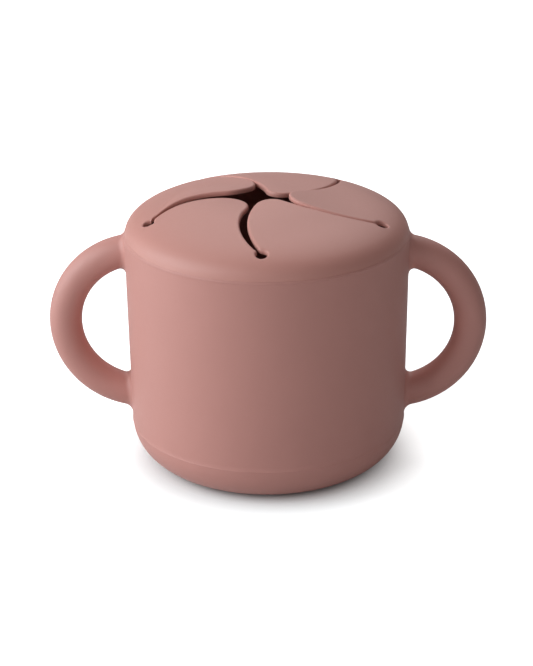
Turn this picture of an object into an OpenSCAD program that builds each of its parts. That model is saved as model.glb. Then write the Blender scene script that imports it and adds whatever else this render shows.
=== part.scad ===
// Toddler snack container: a two-handled soft cup and a press-on lid whose
// top is slit into a pinwheel of five flaps. Millimetres, +Z up, origin at
// the centre of the base, handles along X, the front of the cup at -Y.

/* [Cup] */
// Outside diameter of the cup at the ledge that the lid sits on
cup_d = 90; // [84:0.5:100]
// Height of that ledge above the table
ledge_z = 76; // [66:0.5:90]
// Lean of the outside wall from upright, in degrees
wall_draft = 0.78; // [0.2:0.02:1.6]
// Thickness of the side wall
cup_wall = 3; // [2.4:0.1:3.6]
// Thickness of the floor
cup_floor = 3; // [2:0.1:5]
// Outside radius of the rounded base edge
base_fillet_r = 13.5; // [9:0.5:16]
// Radius of the round on the outside edge of the ledge
ledge_round_r = 0.4; // [0.2:0.1:0.8]

/* [Neck] */
// Width of the ledge between the outside wall and the neck that the lid grips
ledge_w = 2.8; // [2.4:0.1:3.4]
// Height of the neck above the ledge
neck_h = 2.4; // [1.6:0.1:2.8]
// Thickness of the neck
neck_wall = 2.2; // [1.6:0.1:2.4]
// Round on the top edges of the neck
neck_round_r = 0.5; // [0.2:0.1:0.8]

/* [Handles] */
// Radius of the ring that each handle's centreline follows
handle_ring_r = 24.45; // [20:0.05:26]
// How far below the ledge the top of the ring lies
handle_drop = 0.7; // [0.5:0.1:3]
// How far each handle stands out from the cup's widest point
handle_reach = 25; // [20:0.5:30]
// Diameter of the handle's round section
handle_d = 10.35; // [8:0.05:10.6]

/* [Lid] */
// Height of the crown of the lid above the ledge
lid_rise = 10.6; // [9.6:0.1:14]
// Thickness of the lid's top and of its flaps
lid_t = 1.7; // [1.4:0.05:1.8]
// Gap all round between the lid's skirt and the neck
skirt_gap = 0.15; // [0.05:0.05:0.3]
// Round on the lower outside edge of the skirt
skirt_round_r = 0.6; // [0.3:0.1:1]
// Fullness of the lid's curve towards the crown, 2 being an ellipse
crown_power = 2.18; // [2:0.02:2.6]
// Fullness of the lid's curve towards the skirt, 2 being an ellipse
shoulder_power = 2.86; // [2.4:0.02:3.2]

/* [Flaps] */
// Distance from the lid's edge in to the circle through the slits' end holes
hole_inset = 7.15; // [7:0.05:9]
// Diameter of the hole that ends each slit
hole_d = 3.8; // [3.8:0.1:4.2]
// Direction of the first hole, at the left handle, in degrees
hole_phase = 195.5; // [180:0.5:215]
// How far each slit bows from a straight line to the centre
slit_bow = 6.4; // [5:0.1:7.5]
// Width of a closed slit
slit_gap = 0.9; // [0.7:0.05:1.2]
// Radius of each flap's rounded tip
tip_r = 7; // [5:0.5:8]
// Clearance round each flap's hinge
hinge_gap = 0.15; // [0.1:0.01:0.2]

/* [Hidden] */
$fn = 96;

flap_count = 5;
flap_turn = 360/flap_count;
// How each soft flap has settled after use: its rest tilt in degrees, tip up,
// and how much blunter its tip is. Then, for the slit on its clockwise side,
// the extra bow and the extra opening.
rest_tilt = [-0.5, 2.3, 3.7, 2, 3.5];
tip_extra = [3, -2, 1, -2.5, 3];
bow_extra = [0.2, -0.3, -1.2, 0, -0.2];
slit_open = [0.3, 1.7, 0, 0.3, 0];

rose = [0.76, 0.58, 0.55];
rose_light = [0.80, 0.62, 0.59];

// Cup outline
rim_r = cup_d/2;
foot_r = rim_r - (ledge_z - base_fillet_r*(1 - sin(wall_draft)))*tan(wall_draft)
         - base_fillet_r*cos(wall_draft);
neck_r = rim_r - ledge_w;
bore_r = neck_r - neck_wall;
neck_top = ledge_z + neck_h;
fillet_steps = 14;
round_steps = 4;

// Centre of each handle's ring
handle_x = rim_r + handle_reach - handle_d/2 - handle_ring_r;
handle_z = ledge_z - handle_drop - handle_d/2 - handle_ring_r;

// Lid curve: it springs from spring_z, inside the skirt's height
spring_drop = 1.75;
spring_z = ledge_z - spring_drop;
crown_z = ledge_z + lid_rise;
top_steps = 45;
under_steps = 30;
seat_gap = 0.05;
seat_z = neck_top + seat_gap;
seat_in_r = bore_r - skirt_gap;
seat_out_r = neck_r + skirt_gap;

// Hinges: one chord per flap between neighbouring holes
hole_r = hole_d/2;
hole_circle_r = rim_r - hole_inset;
chord_in = hole_circle_r*cos(flap_turn/2);
chord_len = 2*hole_circle_r*sin(flap_turn/2);
chord_end_r = norm([chord_in, chord_len/2 - hole_r]);
hinge_z = (lid_top(chord_in) + lid_under(chord_end_r))/2;
knuckle_over = 0.1;
knuckle_r = (lid_top(chord_in) - lid_under(chord_end_r))/2 + knuckle_over;
groove_r = knuckle_r + hinge_gap;
root_run = 2*groove_r;
edge_steps = 14;
tip_steps = 8;
cut_h = 2*lid_rise;

function wall_r(z) = rim_r - (ledge_z - z)*tan(wall_draft);

// Points along an arc from angle a to angle b, both ends included
function arc(centre, r, a, b, steps) =
    [for (i = [0:steps]) let (t = a + (b - a)*i/steps) centre + r*[cos(t), sin(t)]];

// Height of the lid's upper and lower surfaces at a distance from the axis
function superellipse(r, edge_r, rise) =
    rise*pow(max(0, 1 - pow(min(1, r/edge_r), crown_power)), 1/shoulder_power);
function lid_top(r) = spring_z + superellipse(r, rim_r, crown_z - spring_z);
function lid_under(r) = spring_z + superellipse(r, rim_r - lid_t, crown_z - lid_t - spring_z);

// Distances from the axis at which the lid's curve is sampled, closer
// together towards the edge, where it turns down fastest
function spread(r_max, steps) = [for (i = [0:steps]) r_max*sin(90*i/steps)];

// The circle that a slit edge follows, in the frame of its hole: +X from the
// centre of the lid to the hole. It is bowed towards -Y.
function bow_r(bow) = (pow(hole_circle_r/2, 2) + bow*bow)/(2*bow);
function turned(p, a) = [p.x*cos(a) - p.y*sin(a), p.x*sin(a) + p.y*cos(a)];
function slit_centre(k, bow) = turned([hole_circle_r/2, bow_r(bow) - bow], hole_angle(k));
function hole_angle(k) = hole_phase + flap_turn*k;
function hole_at(k) = hole_circle_r*[cos(hole_angle(k)), sin(hole_angle(k))];
function angle_of(v) = atan2(v.y, v.x);
// The value of an angle that lies within half a turn of another
function near(a, b) = a - 360*round((a - b)/360);
// Where two circles meet, on the left of the line from p to q
function meet(p, rp, q, rq) =
    let (d = norm(q - p), a = (rp*rp - rq*rq + d*d)/(2*d), h = sqrt(rp*rp - a*a), u = (q - p)/d)
    p + a*u + h*[-u.y, u.x];

// Outline of flap k seen from above. One edge bulges, the other is hollow,
// a round joins them at the tip, and the root runs past the hinge chord.
function flap_outline(k) =
    let (next = (k + 1)%flap_count,
         bow_a = slit_bow + bow_extra[k] - slit_open[k]/2,
         bow_b = slit_bow + bow_extra[next] + slit_open[next]/2,
         r = tip_r + tip_extra[k],
         ca = slit_centre(k, bow_a), cb = slit_centre(k + 1, bow_b),
         ra = bow_r(bow_a) - slit_gap/2, rb = bow_r(bow_b) + slit_gap/2,
         tip = meet(ca, ra - r, cb, rb + r),
         out = [cos(hole_angle(k) + flap_turn/2), sin(hole_angle(k) + flap_turn/2)],
         tip_a = angle_of(tip - ca),
         tip_b = near(angle_of(cb - tip), tip_a),
         start_a = near(angle_of(hole_at(k) - ca), tip_a),
         start_b = angle_of(hole_at(k + 1) - cb),
         end_b = near(angle_of(tip - cb), start_b))
    concat(
        [hole_at(k) + root_run*out],
        arc(ca, ra, start_a, tip_a, edge_steps),
        arc(tip, r, tip_a, tip_b, tip_steps),
        arc(cb, rb, end_b, start_b, edge_steps),
        [hole_at(k + 1) + root_run*out]);

// Half outline of the cup's outside, up to the ledge
function cup_outside() = concat(
    [[0, 0]],
    arc([foot_r, base_fillet_r], base_fillet_r, -90, -wall_draft, fillet_steps),
    arc([rim_r - ledge_round_r, ledge_z - ledge_round_r], ledge_round_r, 0, 90, round_steps));

// The cup as if it were solid, carried straight up through the lid
module cup_solid() {
    rotate_extrude() polygon(concat(cup_outside(), [[rim_r, ledge_z], [rim_r, crown_z], [0, crown_z]]));
}

module cup() {
    inside_fillet_r = base_fillet_r - cup_wall;
    inside_top_z = ledge_z - cup_wall;
    inside_top_r = wall_r(inside_top_z) - cup_wall;
    step_h = inside_top_r - bore_r;
    color(rose) rotate_extrude() polygon(concat(
        cup_outside(),
        [[neck_r, ledge_z]],
        arc([neck_r - neck_round_r, neck_top - neck_round_r], neck_round_r, 0, 90, round_steps),
        arc([bore_r + neck_round_r, neck_top - neck_round_r], neck_round_r, 90, 180, round_steps),
        [[bore_r, inside_top_z], [inside_top_r, inside_top_z - step_h]],
        arc([foot_r, cup_floor + inside_fillet_r], inside_fillet_r, -wall_draft, -90, fillet_steps),
        [[0, cup_floor]]));
}

// side is 1 for the right handle and -1 for the left
module handle(side) {
    color(rose) difference() {
        translate([side*handle_x, 0, handle_z]) rotate([90, 0, 0])
            rotate_extrude() translate([handle_ring_r, 0]) circle(d = handle_d);
        cup_solid();
    }
}

// Runs along flap k's hinge chord from hole to hole
module hinge_bar(k, r, length) {
    rotate([0, 0, hole_angle(k) + flap_turn/2]) translate([chord_in, 0, hinge_z])
        rotate([90, 0, 0]) cylinder(r = r, h = length, center = true);
}

// Clears the hole at the outer end of slit k
module hole(k) {
    translate([hole_at(k).x, hole_at(k).y, ledge_z]) cylinder(d = hole_d, h = cut_h);
}

module lid_ring() {
    top = spread(rim_r, top_steps);
    under = [for (r = spread(rim_r - lid_t, under_steps)) if (r < seat_in_r) r];
    color(rose_light) difference() {
        rotate_extrude() polygon(concat(
            [for (r = top) if (lid_top(r) > ledge_z + skirt_round_r) [r, lid_top(r)]],
            arc([rim_r - skirt_round_r, ledge_z + skirt_round_r], skirt_round_r, 0, -90, round_steps),
            [[seat_out_r, ledge_z], [seat_out_r, seat_z], [seat_in_r, seat_z],
             [seat_in_r, lid_under(seat_in_r)]],
            [for (i = [len(under) - 1:-1:0]) [under[i], lid_under(under[i])]]));
        translate([0, 0, ledge_z]) linear_extrude(height = cut_h)
            polygon([for (k = [0:flap_count - 1]) hole_at(k)]);
        for (k = [0:flap_count - 1]) {
            hole(k);
            hinge_bar(k, groove_r, chord_len);
        }
    }
}

module lid_shell() {
    within = [for (r = spread(rim_r - lid_t, under_steps)) if (r < hole_circle_r + hole_r) r];
    rotate_extrude() polygon(concat(
        [for (r = within) [r, lid_top(r)]],
        [for (i = [len(within) - 1:-1:0]) [within[i], lid_under(within[i])]]));
}

module flap(k) {
    middle = hole_angle(k) + flap_turn/2;
    color(rose_light)
    translate([chord_in*cos(middle), chord_in*sin(middle), hinge_z])
    rotate([0, 0, middle]) rotate([0, rest_tilt[k], 0]) rotate([0, 0, -middle])
    translate([-chord_in*cos(middle), -chord_in*sin(middle), -hinge_z])
    difference() {
        intersection() {
            lid_shell();
            translate([0, 0, ledge_z]) linear_extrude(height = cut_h) polygon(flap_outline(k));
            union() {
                hinge_bar(k, knuckle_r, chord_len);
                rotate([0, 0, middle]) translate([chord_in - cup_d, -rim_r, ledge_z])
                    cube([cup_d, cup_d, cut_h]);
            }
        }
        hole(k);
        hole(k + 1);
    }
}

cup();
handle(-1);  // left_handle
handle(1);  // right_handle
lid_ring();
flap(0);  // flap_front_left
flap(1);  // flap_front_right
flap(2);  // flap_right
flap(3);  // flap_back
flap(4);  // flap_left
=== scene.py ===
"""A two-handled soft cup with a press-on lid, slit into a pinwheel of five flaps.

Shapes are worked out in millimetres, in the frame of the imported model: +X through
the right handle, -Y to the front, +Z up, the origin at the centre of the base.
"""
import math

import bmesh
import bpy
import numpy as np
from mathutils import Matrix, Vector
from mathutils.geometry import delaunay_2d_cdt


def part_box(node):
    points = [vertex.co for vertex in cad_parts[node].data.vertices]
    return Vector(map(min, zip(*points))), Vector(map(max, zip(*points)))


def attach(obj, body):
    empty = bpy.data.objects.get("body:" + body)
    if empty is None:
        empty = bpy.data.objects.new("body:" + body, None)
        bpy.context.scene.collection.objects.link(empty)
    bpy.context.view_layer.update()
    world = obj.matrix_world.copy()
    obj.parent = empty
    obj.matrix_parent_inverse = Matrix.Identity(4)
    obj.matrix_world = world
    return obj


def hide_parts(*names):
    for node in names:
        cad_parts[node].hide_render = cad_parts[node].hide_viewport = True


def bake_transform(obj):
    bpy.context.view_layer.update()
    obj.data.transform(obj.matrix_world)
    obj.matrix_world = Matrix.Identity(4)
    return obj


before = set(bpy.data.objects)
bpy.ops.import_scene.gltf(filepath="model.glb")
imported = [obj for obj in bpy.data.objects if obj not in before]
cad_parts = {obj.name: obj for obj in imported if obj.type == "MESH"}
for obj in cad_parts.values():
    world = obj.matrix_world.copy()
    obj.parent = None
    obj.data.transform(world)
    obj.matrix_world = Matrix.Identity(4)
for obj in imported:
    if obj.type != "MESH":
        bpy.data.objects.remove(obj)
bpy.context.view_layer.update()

MM = 0.001


def corners(node):
    """Lowest and highest corner of a node, in millimetres."""
    low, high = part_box(node)
    return low / MM, high / MM


# ---------------------------------------------------------------- sizes, in mm
LEDGE_Z = corners("lid_ring")[0].z
RIM_R = corners("cup")[1].x
NECK_TOP = corners("cup")[1].z
HANDLE_REACH = corners("right_handle")[1].x - RIM_R

WALL_LEAN = math.tan(math.radians(0.78))
WALL_T = 3.0
FLOOR_T = 3.0
BASE_ROUND = 13.5
LEDGE_ROUND = 0.3
LEDGE_W = 2.8
NECK_WALL = 2.2
NECK_ROUND = 0.5
PARTING_Z = 12.8          # the faint line where the mould's base plate meets its wall
PARTING_W = 0.36
PARTING_H = 0.09
LIP_DROP = 0.65           # a second such line, this far below the lid

HANDLE_RING_R = 24.45
HANDLE_R = corners("right_handle")[1].y
HANDLE_DROP = 1.25        # how far the handles' tops lie below the ledge
HANDLE_X = RIM_R + HANDLE_REACH - HANDLE_R - HANDLE_RING_R
HANDLE_Z = LEDGE_Z - HANDLE_DROP - HANDLE_R - HANDLE_RING_R
HANDLE_TURN = math.radians(-1.4)    # how far the pair of handles sits off the X axis
HANDLE_BLEND = 2.5        # radius of the hollow where a handle runs into the wall
BLEND_LESS = 0.35         # share by which it is smaller at the handle's sides

LID_RISE = 10.6
LID_T = 1.7
SPRING_Z = LEDGE_Z - 1.75
CROWN_POWER = 2.18
SHOULDER_POWER = 2.86
SKIRT_STEP = 0.15         # how far the skirt stands in from the cup's wall
SEAT_GAP = 0.15
SEAT_OUT = RIM_R - LEDGE_W + SEAT_GAP
SEAT_IN = RIM_R - LEDGE_W - NECK_WALL - SEAT_GAP
SEAT_Z = NECK_TOP + 0.05

HOLE_CIRCLE = RIM_R - 7.15
HOLE_R = 1.8
HOLE_PHASE = math.radians(195.5)
FLAPS = 5
TURN = math.tau / FLAPS
CHORD_IN = HOLE_CIRCLE * math.cos(TURN / 2)
SLIT_GAP = 0.9
EDGE_TOP = 0.7            # round on the upper edges of slits and holes
EDGE_UNDER = 0.2
FLARE_RUN = 2.0           # how soon past the root a raised edge stands up
FLARE_START = 1.5         # how gently it starts to
FLARE_WIDTH = 9.0         # how far in from the slit it reaches
BEND_RUN = 12.0           # length of the root along which a flap bends

AROUND = 256              # steps in a full turn
RIM_MESH = 1.1            # spacing of the points that fill the lid's rim
FLAP_MESH = 1.2
ROOT_MESH = 0.8
ROOT_ROWS = (0.25, 0.7)   # distances of the rows of points beside a flap's root
EDGE_CLEAR = 2.8 * EDGE_TOP
SLIVER = 0.12             # points nearer than this to an outline are left out
WELD = 0.002
SHARP = math.radians(50)  # a steeper edge between two faces stays crisp


class Flap:
    """How one flap has settled: angles in degrees, everything else in mm.

    tilt: lean of the whole flap, tip up. arch: lift halfway along. curl: extra lift
    at the tip. lean: lift per mm towards its anticlockwise side, at the tip. flare:
    lift of its hollow edge. bow_a, bow_b: bow of its bulging and its hollow edge.
    tip_r: radius of its tip."""

    def __init__(self, name, tilt, arch, bow_a, bow_b, tip_r, curl=0, lean=0, flare=0):
        self.name = name
        self.tilt = math.radians(tilt)
        self.arch = arch
        self.curl = curl
        self.lean = lean
        self.flare = flare
        self.bow_a = bow_a
        self.bow_b = bow_b
        self.tip_r = tip_r


FLAP_LIST = [
    Flap("front_left", tilt=-0.1, arch=0.35, bow_a=7.85, bow_b=7.1, tip_r=8.7, curl=-0.95),
    Flap("front_right", tilt=3.75, arch=0.2, bow_a=5.55, bow_b=4.45, tip_r=5.4, lean=0.09),
    Flap("right", tilt=4.2, arch=-0.1, bow_a=5.45, bow_b=6.8, tip_r=7.4,
         curl=1.95, lean=-0.014),
    Flap("back", tilt=0.7, arch=-0.3, bow_a=6.7, bow_b=5.8, tip_r=4.4,
         curl=0.35, flare=0.6),
    Flap("left", tilt=2.0, arch=-0.2, bow_a=7.1, bow_b=8.05, tip_r=10.2,
         curl=-1.45, lean=-0.046, flare=1.45),
]


# ---------------------------------------------------------------- lid surfaces
def superellipse(r, edge_r, rise):
    """Height above the spring line of a crowned curve that falls to 0 at edge_r."""
    inner = np.clip(1 - np.minimum(1, r / edge_r) ** CROWN_POWER, 0, None)
    return rise * inner ** (1 / SHOULDER_POWER)


def lid_top(r):
    return SPRING_Z + superellipse(r, RIM_R, LEDGE_Z + LID_RISE - SPRING_Z)


def lid_under(r):
    return SPRING_Z + superellipse(r, RIM_R - LID_T, LEDGE_Z + LID_RISE - LID_T - SPRING_Z)


def edge_drop(d, radius):
    """How far a rounded edge has fallen at distance d from the edge."""
    inward = np.clip(radius - d, 0, radius)
    return radius - np.sqrt(radius ** 2 - inward ** 2)


# ------------------------------------------------------- plan of the five slits
def polar(r, angle):
    return np.array([r * math.cos(angle), r * math.sin(angle)])


def hole_angle(k):
    return HOLE_PHASE + TURN * k


def hole_at(k):
    return polar(HOLE_CIRCLE, hole_angle(k))


def bow_radius(bow):
    return ((HOLE_CIRCLE / 2) ** 2 + bow ** 2) / (2 * bow)


def slit_centre(k, bow):
    """Centre of the circle that slit k follows from the lid's centre to its hole."""
    a = hole_angle(k)
    along = polar(HOLE_CIRCLE / 2, a)
    return along + polar(bow_radius(bow) - bow, a + math.pi / 2)


def circles_meet(p, rp, q, rq):
    """Where two circles cross, on the left of the line from p to q."""
    d = np.linalg.norm(q - p)
    a = (rp ** 2 - rq ** 2 + d ** 2) / (2 * d)
    u = (q - p) / d
    return p + a * u + math.sqrt(rp ** 2 - a ** 2) * np.array([-u[1], u[0]])


def angle_of(v):
    return math.atan2(v[1], v[0])


def near(a, b):
    """Angle a, plus or minus whole turns, within half a turn of b."""
    return a - math.tau * round((a - b) / math.tau)


def arc(centre, r, start, end, step=0.25):
    """Points on a circle from one angle to another, about step apart."""
    count = max(2, int(abs(end - start) * r / step))
    return [centre + polar(r, start + (end - start) * i / count) for i in range(count + 1)]


def even(points, step=0.35, soften=2):
    """An open line resampled at even steps, its inner corners rounded by averaging."""
    p = np.array(points)
    run = np.concatenate([[0], np.cumsum(np.linalg.norm(np.diff(p, axis=0), axis=1))])
    at = np.linspace(0, run[-1], int(run[-1] / step) + 1)
    p = np.column_stack([np.interp(at, run, p[:, 0]), np.interp(at, run, p[:, 1])])
    smooth = p.copy()
    for i in range(1, len(p) - 1):
        w = min(soften, i, len(p) - 1 - i)
        smooth[i] = p[i - w:i + w + 1].mean(axis=0)
    return smooth


# Distances from a free edge of the rows of points that shape its round
ROUND_STEPS = [EDGE_TOP * (1 - math.cos(math.radians(a))) for a in (18, 36, 54, 72, 90)]
INSETS = ROUND_STEPS + [1.5 * EDGE_TOP, 2.4 * EDGE_TOP]


def chord(k):
    """Points on flap k's root, from hole k to hole k + 1, closer at the ends."""
    a, b = hole_at(k), hole_at(k + 1)
    u = (b - a) / np.linalg.norm(b - a)
    length = np.linalg.norm(b - a) - 2 * HOLE_R
    ends = [0] + INSETS
    count = int((length - 2 * ends[-1]) / ROOT_MESH)
    middle = np.linspace(ends[-1], length - ends[-1], count + 1)[1:-1]
    at = ends + list(middle) + [length - e for e in reversed(ends)]
    return np.array([a + u * (HOLE_R + s) for s in at])


def flap_edge(k):
    """Free edge of flap k, from the end of its root at hole k round to hole k + 1."""
    flap = FLAP_LIST[k]
    ha, hb = hole_at(k), hole_at(k + 1)
    ca, cb = slit_centre(k, flap.bow_a), slit_centre(k + 1, flap.bow_b)
    ra = bow_radius(flap.bow_a) - SLIT_GAP / 2
    rb = bow_radius(flap.bow_b) + SLIT_GAP / 2
    tip = circles_meet(ca, ra - flap.tip_r, cb, rb + flap.tip_r)
    tip_a = angle_of(tip - ca)
    tip_b = near(angle_of(cb - tip), tip_a)
    hole_a = near(angle_of(ha - ca), tip_a)
    hole_b = angle_of(hb - cb)
    leave_a = hole_a + math.copysign(HOLE_R / ra, tip_a - hole_a)
    end_b = near(angle_of(tip - cb), hole_b)
    leave_b = hole_b + math.copysign(HOLE_R / rb, end_b - hole_b)
    root = angle_of(hb - ha)
    slit_a = near(angle_of(ca + polar(ra, leave_a) - ha), root)
    slit_b = angle_of(cb + polar(rb, leave_b) - hb)
    back = near(root + math.pi, slit_b)
    return even(arc(ha, HOLE_R, root, slit_a) + arc(ca, ra, leave_a, tip_a)[1:]
                + arc(tip, flap.tip_r, tip_a, tip_b)[1:] + arc(cb, rb, end_b, leave_b)[1:]
                + arc(hb, HOLE_R, slit_b, back)[1:])


def hole_edge(k):
    """The part of hole k's edge that belongs to the fixed rim of the lid."""
    start = angle_of(hole_at(k - 1) - hole_at(k))
    end = angle_of(hole_at(k + 1) - hole_at(k))
    outward = near(hole_angle(k), start)
    return np.array(arc(hole_at(k), HOLE_R, start, near(end, outward + (outward - start)), 0.35))


def distance(points, line):
    """Least distance from each point to an open line."""
    p = np.asarray(points)[:, None, :]
    a, b = line[None, :-1], line[None, 1:]
    ab = b - a
    t = np.clip(((p - a) * ab).sum(-1) / (ab ** 2).sum(-1), 0, 1)
    return np.linalg.norm(p - a - t[..., None] * ab, axis=-1).min(axis=1)


def inside(points, outline):
    """Which points lie inside a closed outline."""
    x, y = np.asarray(points).T
    hit = np.zeros(len(x), bool)
    for (x1, y1), (x2, y2) in zip(outline, np.roll(outline, -1, axis=0)):
        if y1 != y2:
            crosses = (y1 > y) != (y2 > y)
            hit ^= crosses & (x < (x2 - x1) * (y - y1) / (y2 - y1) + x1)
    return hit


def inset_points(line):
    """Rows of points alongside a free edge, on its left, thinned out in its hollows."""
    tangent = np.gradient(line, axis=0)
    tangent /= np.linalg.norm(tangent, axis=1)[:, None]
    left = np.column_stack([-tangent[:, 1], tangent[:, 0]])
    rows = []
    for d in INSETS:
        row = line + left * d
        rows.append(row[distance(row, line) > 0.97 * d])
    return np.concatenate(rows)


def root_frame(k):
    """Middle of flap k's root, the direction in from it, and the direction along it."""
    m = hole_angle(k) + TURN / 2
    return polar(CHORD_IN, m), -polar(1, m), polar(1, m + math.pi / 2)


def inward(points, k):
    """Distance of each point from flap k's root, towards the lid's centre."""
    middle, inn, _ = root_frame(k)
    return (np.asarray(points) - middle) @ inn


def lattice(spacing, reach):
    """An even grid of triangles' corners over a square."""
    rows = int(reach / (spacing * math.sqrt(3) / 2))
    columns = int(reach / spacing)
    return np.array([[spacing * (i + 0.5 * (j % 2)), spacing * math.sqrt(3) / 2 * j]
                     for j in range(-rows, rows + 1) for i in range(-columns, columns + 1)])


def fill(outlines, extra, keep):
    """Triangles over points and closed outlines, those whose centre keep() accepts."""
    points, edges = [], []
    for line in outlines:
        first = len(points)
        points += [tuple(p) for p in line]
        edges += [(first + i, first + (i + 1) % len(line)) for i in range(len(line))]
    fixed = len(points)
    points += [tuple(p) for p in extra]
    found, _, faces, origin, _, _ = delaunay_2d_cdt([Vector(p) for p in points], edges, [], 0, 1e-7)
    found = np.array([tuple(v) for v in found])
    order = {source: new for new, sources in enumerate(origin) for source in sources}
    triangles = np.array(faces)
    kept = triangles[keep(found[triangles].mean(axis=1))]
    return found, [order[i] for i in range(fixed)], [tuple(t) for t in kept]


# --------------------------------------------------------------- mesh builders
def new_piece(name, verts, faces):
    """A smooth mesh object from vertices in millimetres, with coincident ones joined."""
    mesh = bpy.data.meshes.new(name)
    mesh.from_pydata([tuple(c * MM for c in v) for v in verts], [], faces)
    bm = bmesh.new()
    bm.from_mesh(mesh)
    bmesh.ops.remove_doubles(bm, verts=bm.verts, dist=WELD * MM)
    bmesh.ops.delete(bm, geom=[v for v in bm.verts if not v.link_faces], context="VERTS")
    bmesh.ops.recalc_face_normals(bm, faces=bm.faces)
    for face in bm.faces:
        face.smooth = True
    bm.to_mesh(mesh)
    bm.free()
    mesh.set_sharp_from_angle(angle=SHARP)
    obj = bpy.data.objects.new(name, mesh)
    bpy.context.scene.collection.objects.link(obj)
    return obj


def revolve(profile, closed=True):
    """Vertices and faces of an outline of (radius, height) turned about Z."""
    verts, faces = [], []
    for i in range(AROUND):
        a = math.tau * i / AROUND
        verts += [(r * math.cos(a), r * math.sin(a), z) for r, z in profile]
    n = len(profile)
    for i in range(AROUND):
        here, there = i * n, (i + 1) % AROUND * n
        for j in range(n if closed else n - 1):
            k = (j + 1) % n
            ends = (profile[j][0] < 1e-6, profile[k][0] < 1e-6)
            if ends == (False, False):
                faces.append((here + j, there + j, there + k, here + k))
            elif ends == (True, False):
                faces.append((here + j, there + k, here + k))
            elif ends == (False, True):
                faces.append((here + j, there + j, here + k))
    return verts, faces


def bend(centre, r, start, end, steps):
    """Points of a round in a profile, between two angles in degrees."""
    angles = np.radians(np.linspace(start, end, steps + 1))
    return [(centre[0] + r * math.cos(a), centre[1] + r * math.sin(a)) for a in angles]


def sheet_shell(outline, extra, top, under):
    """A closed shell over a plan: its two faces and the wall along its outline."""
    points, ring, triangles = fill([outline], extra, lambda centres: inside(centres, outline))
    n = len(points)
    verts = [(x, y, z) for (x, y), z in zip(points, top(points))]
    verts += [(x, y, z) for (x, y), z in zip(points, under(points))]
    faces = triangles + [(a + n, c + n, b + n) for a, b, c in triangles]
    faces += [(a, b, b + n, a + n) for a, b in zip(ring, ring[1:] + ring[:1])]
    return verts, faces


# ------------------------------------------------------------------- materials
CLOUD = 0.03              # how far the cloudiness lightens or darkens the colour
GRAIN_DEPTH = 0.05


def silicone(name, colour):
    """Matte moulded silicone: a fine satin grain, a faint cloudiness and a dusty bloom."""
    material = bpy.data.materials.new(name)
    material.use_nodes = True
    tree = material.node_tree
    shader = tree.nodes["Principled BSDF"]
    where = tree.nodes.new("ShaderNodeTexCoord")

    def noise(scale, detail):
        node = tree.nodes.new("ShaderNodeTexNoise")
        node.inputs["Scale"].default_value = scale
        node.inputs["Detail"].default_value = detail
        tree.links.new(where.outputs["Object"], node.inputs["Vector"])
        return node.outputs["Fac"]

    def ramp(fac, low, high):
        node = tree.nodes.new("ShaderNodeMapRange")
        node.inputs["To Min"].default_value = low
        node.inputs["To Max"].default_value = high
        tree.links.new(fac, node.inputs["Value"])
        return node.outputs["Result"]

    cloud = tree.nodes.new("ShaderNodeMix")
    cloud.data_type = "RGBA"
    cloud.inputs["A"].default_value = (*[c * (1 - CLOUD) for c in colour], 1)
    cloud.inputs["B"].default_value = (*[c * (1 + CLOUD) for c in colour], 1)
    tree.links.new(noise(scale=38, detail=3), cloud.inputs["Factor"])
    tree.links.new(cloud.outputs["Result"], shader.inputs["Base Color"])
    satin = ramp(noise(scale=900, detail=2), low=0.5, high=0.62)
    tree.links.new(satin, shader.inputs["Roughness"])
    grain = tree.nodes.new("ShaderNodeBump")
    grain.inputs["Strength"].default_value = 0.12
    grain.inputs["Distance"].default_value = GRAIN_DEPTH * MM
    tree.links.new(noise(scale=2600, detail=4), grain.inputs["Height"])
    tree.links.new(grain.outputs["Normal"], shader.inputs["Normal"])
    shader.inputs["Specular IOR Level"].default_value = 0.65
    shader.inputs["Sheen Weight"].default_value = 0.06
    shader.inputs["Sheen Roughness"].default_value = 0.45
    return material


ROSE = (0.56, 0.243, 0.206)
ROSE_LID = (0.575, 0.249, 0.207)
CUP_SILICONE = silicone("cup_silicone", ROSE)
LID_SILICONE = silicone("lid_silicone", ROSE_LID)


def finish_piece(obj, material):
    obj.data.materials.append(material)
    return obj


# ----------------------------------------------------------------- cup and neck
def wall_r(z):
    return RIM_R - (LEDGE_Z - z) * WALL_LEAN


def ridge(z):
    """The profile of a fine raised line round the wall."""
    return [(wall_r(z) + PARTING_H * math.cos(math.radians(a)) ** 2, z + PARTING_W * a / 180)
            for a in range(-90, 91, 30)]


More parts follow.
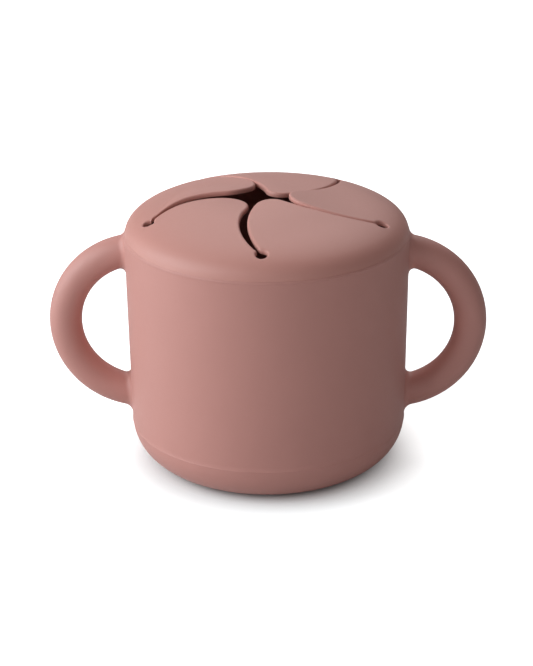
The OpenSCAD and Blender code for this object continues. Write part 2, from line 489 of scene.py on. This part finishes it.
def make_cup():
    """The cup: rounded base, leaning wall, ledge and neck outside, a smooth cavity inside."""
    lean = math.degrees(math.atan(WALL_LEAN))
    foot = wall_r(BASE_ROUND) - BASE_ROUND
    neck_r = RIM_R - LEDGE_W
    bore_r = neck_r - NECK_WALL
    inside_top = LEDGE_Z - WALL_T
    inside_r = wall_r(inside_top) - WALL_T
    hollow_r = BASE_ROUND - WALL_T
    wall_start = BASE_ROUND + 1.0
    wall_end = LEDGE_Z - 1.5
    round_end = -lean - 4       # a little short of the wall, below the parting line
    profile = [(0, 0)]
    profile += bend((foot, BASE_ROUND), BASE_ROUND, -90, round_end, 20)
    profile += ridge(PARTING_Z)
    profile += [(wall_r(z), z) for z in np.linspace(wall_start, wall_end, 24)]
    profile += ridge(LEDGE_Z - LIP_DROP)
    profile += bend((RIM_R - LEDGE_ROUND, LEDGE_Z - LEDGE_ROUND), LEDGE_ROUND, 0, 90, 8)
    profile += [(neck_r, LEDGE_Z)]
    profile += bend((neck_r - NECK_ROUND, NECK_TOP - NECK_ROUND), NECK_ROUND, 0, 90, 6)
    profile += bend((bore_r + NECK_ROUND, NECK_TOP - NECK_ROUND), NECK_ROUND, 90, 180, 6)
    profile += [(bore_r, inside_top), (inside_r, inside_top - (inside_r - bore_r))]
    profile += [(wall_r(z) - WALL_T, z) for z in np.linspace(inside_top - 4, wall_start, 16)]
    profile += bend((foot, FLOOR_T + hollow_r), hollow_r, -lean, -90, 16)
    profile += [(0, FLOOR_T)]
    verts, faces = revolve(profile)
    return new_piece("cup_body", verts, faces)


def handle_point(side, along, around, thick):
    """A point of a handle: along its ring and around its section, in radians."""
    r = HANDLE_RING_R + thick * math.cos(around)
    return Vector((side * (HANDLE_X + r * math.cos(along)), thick * math.sin(around),
                   HANDLE_Z + r * math.sin(along)))


def off_wall(p):
    return math.hypot(p.x, p.y) - wall_r(p.z)


def root_angle(side, end, around, gap, thick):
    """The angle along the ring at which a handle so thick is a gap away from the wall."""
    low, high = 0.0, math.radians(110)
    for _ in range(30):
        mid = (low + high) / 2
        if off_wall(handle_point(side, end * mid, around, thick)) > gap:
            low = mid
        else:
            high = mid
    return end * low


def blend_radius(side, end, around):
    """The hollow's radius, smaller where the lid leaves less room above the handle."""
    top = handle_point(side, root_angle(side, end, around, 0, HANDLE_R), around, HANDLE_R)
    room = (LEDGE_Z - LEDGE_ROUND - top.z) / max(0.05, math.cos(around))
    blend = HANDLE_BLEND * (1 - BLEND_LESS * math.sin(around) ** 2)
    return min(blend, room) if end > 0 else blend


def make_handle(name, side):
    """A round-section ring, hollowed out into the wall of the cup at both ends."""
    blend_steps, around_steps, along_steps = 8, 64, 120
    turns = [math.pi / 2 * i / blend_steps for i in range(blend_steps + 1)]
    hollow = [(1 - math.sin(t), 1 - math.cos(t)) for t in turns] + [(-0.5, 1)]
    verts = []
    for j in range(around_steps):
        around = math.tau * j / around_steps
        root, leaves = {}, {}
        for end in (-1, 1):
            r = blend_radius(side, end, around)
            leaves[end] = root_angle(side, end, around, r, HANDLE_R)
            root[end] = []
            for gap, extra in hollow:
                thick = HANDLE_R + r * extra
                along = root_angle(side, end, around, r * gap, thick)
                root[end].append(handle_point(side, along, around, thick))
        span = leaves[1] - leaves[-1]
        middle = [handle_point(side, leaves[-1] + span * i / along_steps, around, HANDLE_R)
                  for i in range(1, along_steps)]
        verts += root[-1][::-1] + middle + root[1]
    n = len(verts) // around_steps
    faces = []
    for j in range(around_steps):
        here, there = j * n, (j + 1) % around_steps * n
        faces += [(here + i, here + i + 1, there + i + 1, there + i) for i in range(n - 1)]
    faces.append([j * n for j in range(around_steps)])
    faces.append([j * n + n - 1 for j in range(around_steps)])
    turn = Matrix.Rotation(HANDLE_TURN, 3, "Z")
    return new_piece(name, [turn @ v for v in verts], faces)


# ------------------------------------------------------------- lid rim and flaps
SURFACE_R = 41.2          # beyond this radius the rim is turned, not filled


def make_rim():
    """The fixed part of the lid: skirt, seat and the rim outside the flaps' roots."""
    circle_top = [polar(SURFACE_R, math.tau * i / AROUND) for i in range(AROUND)]
    circle_under = [polar(SEAT_IN, math.tau * i / AROUND) for i in range(AROUND)]
    inner, edges, rows = [], [], []
    for k in range(FLAPS):
        line = hole_edge(k)
        edges.append(line)
        inner += list(line[:-1]) + list(chord(k)[:-1])
        rows.append(inset_points(line[::-1]))
        _, inn, _ = root_frame(k)
        rows += [chord(k) - inn * d for d in ROOT_ROWS]
    inner = np.array(inner)
    grid = lattice(RIM_MESH, SURFACE_R)
    near_root = np.min([np.abs(inward(grid, k)) for k in range(FLAPS)], axis=0)
    near_hole = np.min([distance(grid, line) for line in edges], axis=0)
    rows.append(grid[(near_root > RIM_MESH) & (near_hole > EDGE_CLEAR)])
    extra = np.concatenate(rows)
    extra = extra[~inside(extra, inner)]
    reach = np.linalg.norm(extra, axis=1)

    def edge_distance(points):
        return np.min([distance(points, line) for line in edges], axis=0)

    def top(points):
        return lid_top(np.linalg.norm(points, axis=1)) - edge_drop(edge_distance(points), EDGE_TOP)

    def under(points):
        return lid_under(np.linalg.norm(points, axis=1)) + edge_drop(edge_distance(points), EDGE_UNDER)

    def outside_flaps(points):
        return ~inside(points, inner)

    verts, faces, loops = [], [], []
    for circle, height, limit in ((circle_top, top, SURFACE_R), (circle_under, under, SEAT_IN)):
        within = extra[reach < limit - SLIVER]
        points, ring, triangles = fill([inner, circle], within, outside_flaps)
        first = len(verts)
        verts += [(x, y, z) for (x, y), z in zip(points, height(points))]
        faces += [tuple(first + i for i in t) for t in triangles]
        loops.append([first + i for i in ring[:len(inner)]])
    a, b = loops
    faces += [(a[i - 1], a[i], b[i], b[i - 1]) for i in range(len(a))]

    out = np.sin(np.linspace(0, math.pi / 2, 24))
    skirt_r = RIM_R - SKIRT_STEP
    outer = [(SURFACE_R + (skirt_r - SURFACE_R) * t,
              float(lid_top(SURFACE_R + (RIM_R - SURFACE_R) * t))) for t in out]
    outer = [p for p in outer if p[1] > LEDGE_Z + 0.1]
    outer += [(skirt_r, LEDGE_Z), (SEAT_OUT, LEDGE_Z), (SEAT_OUT, SEAT_Z), (SEAT_IN, SEAT_Z)]
    outer += [(SEAT_IN, float(lid_under(SEAT_IN)))]
    turned, more = revolve(outer, closed=False)
    faces += [tuple(len(verts) + i for i in f) for f in more]
    verts += turned
    return new_piece("lid_rim", verts, faces)


def settle(points, k):
    """How far flap k's own set lifts each of its points."""
    flap = FLAP_LIST[k]
    middle, inn, along = root_frame(k)
    q = np.clip((points - middle) @ inn, 0, None)
    across = (points - middle) @ along
    u = np.clip(q / BEND_RUN, 0, 1)
    run = np.where(q > BEND_RUN, q - BEND_RUN / 2, BEND_RUN * (u ** 3 - u ** 4 / 2))
    s = q / CHORD_IN
    arch = flap.arch * np.sin(np.pi * np.clip(s, 0, 1)) * u
    from_centre = np.linalg.norm(points - slit_centre(k + 1, flap.bow_b), axis=1)
    from_edge = from_centre - bow_radius(flap.bow_b)
    rise = 1 - np.exp(-q ** 2 / (q + FLARE_START) / FLARE_RUN)
    flare = flap.flare * rise * np.exp(-(from_edge / FLARE_WIDTH) ** 2)
    return flap.tilt * run + flap.curl * s ** 3 + arch + flap.lean * across * s ** 2 + flare


def make_flap(k):
    """Flap k: one thickness of the lid's crown, rounded at its free edges."""
    line = flap_edge(k)
    root = chord(k)
    _, inn, _ = root_frame(k)
    outline = np.concatenate([line[:-1], root[::-1][:-1]])
    rows = [inset_points(line[::-1])] + [root + inn * d for d in ROOT_ROWS]
    grid = lattice(FLAP_MESH, HOLE_CIRCLE)
    rows.append(grid[(inward(grid, k) > FLAP_MESH) & (distance(grid, line) > EDGE_CLEAR)])
    extra = np.concatenate(rows)
    extra = extra[inside(extra, outline) & (inward(extra, k) > SLIVER)]

    def top(points):
        r = np.linalg.norm(points, axis=1)
        return lid_top(r) - edge_drop(distance(points, line), EDGE_TOP) + settle(points, k)

    def under(points):
        r = np.linalg.norm(points, axis=1)
        return lid_under(r) + edge_drop(distance(points, line), EDGE_UNDER) + settle(points, k)

    verts, faces = sheet_shell(outline, extra, top, under)
    return new_piece("flap_" + FLAP_LIST[k].name + "_skin", verts, faces)


cup = finish_piece(make_cup(), CUP_SILICONE)
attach(cup, "cup")
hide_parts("cup")

for handle_name, side in (("left", -1), ("right", 1)):
    handle = finish_piece(make_handle("handle_" + handle_name, side), CUP_SILICONE)
    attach(handle, "cup")
    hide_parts(handle_name + "_handle")

rim = finish_piece(make_rim(), LID_SILICONE)
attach(rim, "lid")
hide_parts("lid_ring")

for number, flap_set in enumerate(FLAP_LIST):
    flap = finish_piece(make_flap(number), LID_SILICONE)
    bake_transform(flap)
    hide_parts("flap_" + flap_set.name)


# ---------------------------------------------------------------- floor and light
FLOOR_SIZE = 6
FLOOR_GREY = 0.68
FLOOR_GLOW = 0.86
# The floor's painted contact shadow: its camera glow darkened by ambient occlusion near the base.
SHADOW_REACH = 0.014      # how far from the base the painted shadow reaches, in metres
SHADOW_FALL = 1.2
SHADOW_DEPTH = 1.15
SURROUND = 0.13           # strength of the surround as light on the object
LAMP_SIZE = 1.0
LAMP_AIM = Vector((0, 0, 0.05))
COOL = (0.93, 1.05, 1.09)


def make_floor():
    """A white floor: its grey keeps the shadow the lamps cast, and its glow to the camera is darkened
    by ambient occlusion close to the base, a painted contact shadow.
    """
    bpy.ops.mesh.primitive_plane_add(size=FLOOR_SIZE)
    floor = bpy.context.active_object
    floor.name = "floor"
    material = bpy.data.materials.new("floor")
    material.use_nodes = True
    tree = material.node_tree
    shader = tree.nodes["Principled BSDF"]
    shader.inputs["Base Color"].default_value = (FLOOR_GREY, FLOOR_GREY, FLOOR_GREY, 1)
    shader.inputs["Roughness"].default_value = 0.9
    shader.inputs["Specular IOR Level"].default_value = 0
    shader.inputs["Emission Color"].default_value = (1, 1, 1, 1)
    path = tree.nodes.new("ShaderNodeLightPath")
    # ambient occlusion darkens the floor's glow close to the base: painted shadow
    painted_shadow_ao = tree.nodes.new("ShaderNodeAmbientOcclusion")
    painted_shadow_ao.inputs["Distance"].default_value = SHADOW_REACH
    hidden = tree.nodes.new("ShaderNodeMath")
    hidden.operation = "SUBTRACT"
    hidden.inputs[0].default_value = 1
    fall = tree.nodes.new("ShaderNodeMath")
    fall.operation = "POWER"
    fall.inputs[1].default_value = SHADOW_FALL
    shade = tree.nodes.new("ShaderNodeMath")
    shade.operation = "MULTIPLY_ADD"
    shade.inputs[1].default_value = -SHADOW_DEPTH
    shade.inputs[2].default_value = 1
    shade.use_clamp = True
    glow = tree.nodes.new("ShaderNodeMath")
    glow.operation = "MULTIPLY"
    bright = tree.nodes.new("ShaderNodeMath")
    bright.operation = "MULTIPLY"
    bright.inputs[1].default_value = FLOOR_GLOW
    tree.links.new(painted_shadow_ao.outputs["AO"], hidden.inputs[1])
    tree.links.new(hidden.outputs["Value"], fall.inputs[0])
    tree.links.new(fall.outputs["Value"], shade.inputs[0])
    tree.links.new(path.outputs["Is Camera Ray"], glow.inputs[0])
    tree.links.new(shade.outputs["Value"], glow.inputs[1])
    tree.links.new(glow.outputs["Value"], bright.inputs[0])
    tree.links.new(bright.outputs["Value"], shader.inputs["Emission Strength"])
    floor.data.materials.append(material)


def area_light(name, place, power, colour=(1, 1, 1)):
    """A square soft light aimed at the middle of the cup."""
    data = bpy.data.lights.new(name, "AREA")
    data.size = LAMP_SIZE
    data.energy = power
    data.color = colour
    light = bpy.data.objects.new(name, data)
    bpy.context.scene.collection.objects.link(light)
    light.location = place
    aim = LAMP_AIM - Vector(place)
    light.rotation_euler = aim.to_track_quat("-Z", "Y").to_euler()


def make_world(strength):
    """A pale surround: white to the camera, dimmer as light on the object."""
    world = bpy.data.worlds.new("surround")
    world.use_nodes = True
    tree = world.node_tree
    back = tree.nodes["Background"]
    path = tree.nodes.new("ShaderNodeLightPath")
    level = tree.nodes.new("ShaderNodeMapRange")
    level.inputs["To Min"].default_value = strength
    level.inputs["To Max"].default_value = 1
    tree.links.new(path.outputs["Is Camera Ray"], level.inputs["Value"])
    tree.links.new(level.outputs["Result"], back.inputs["Strength"])
    back.inputs["Color"].default_value = (1, 1, 1, 1)
    bpy.context.scene.world = world


make_floor()
make_world(SURROUND)
area_light("left", (-1.2, 0.0, 0.5), 11.1, COOL)
area_light("left_front", (-0.95, -0.56, 0.7), 7.2, COOL)
area_light("back", (0.1, 0.85, 1.0), 6.4)
area_light("front", (0.1, -1.3, 0.5), 2)


# ------------------------------------------------------------------------ camera
IMAGE_W, IMAGE_H = 533, 666
FOCAL_PX = 2076.785
TILT = math.radians(22.941)
DISTANCE = 667.536
AIM_Z = 41.802
CENTRE_PX = (267.761, 329.905)
ROLL = math.radians(-0.527)


def make_camera():
    """The photograph's viewpoint."""
    data = bpy.data.cameras.new("camera")
    data.sensor_fit = "AUTO"
    data.lens = FOCAL_PX * data.sensor_width / IMAGE_H
    data.shift_x = (IMAGE_W / 2 - CENTRE_PX[0]) / IMAGE_H
    data.shift_y = (CENTRE_PX[1] - IMAGE_H / 2) / IMAGE_H
    data.clip_start = 0.01
    camera = bpy.data.objects.new("camera", data)
    bpy.context.scene.collection.objects.link(camera)
    back, up = DISTANCE * math.cos(TILT), DISTANCE * math.sin(TILT)
    place = Matrix.Translation(Vector((0, -back, AIM_Z + up)) * MM)
    turn = Matrix.Rotation(math.pi / 2 - TILT, 4, "X") @ Matrix.Rotation(ROLL, 4, "Z")
    camera.matrix_world = place @ turn
    bpy.context.scene.camera = camera


make_camera()
bpy.context.scene.view_settings.view_transform = "Standard"
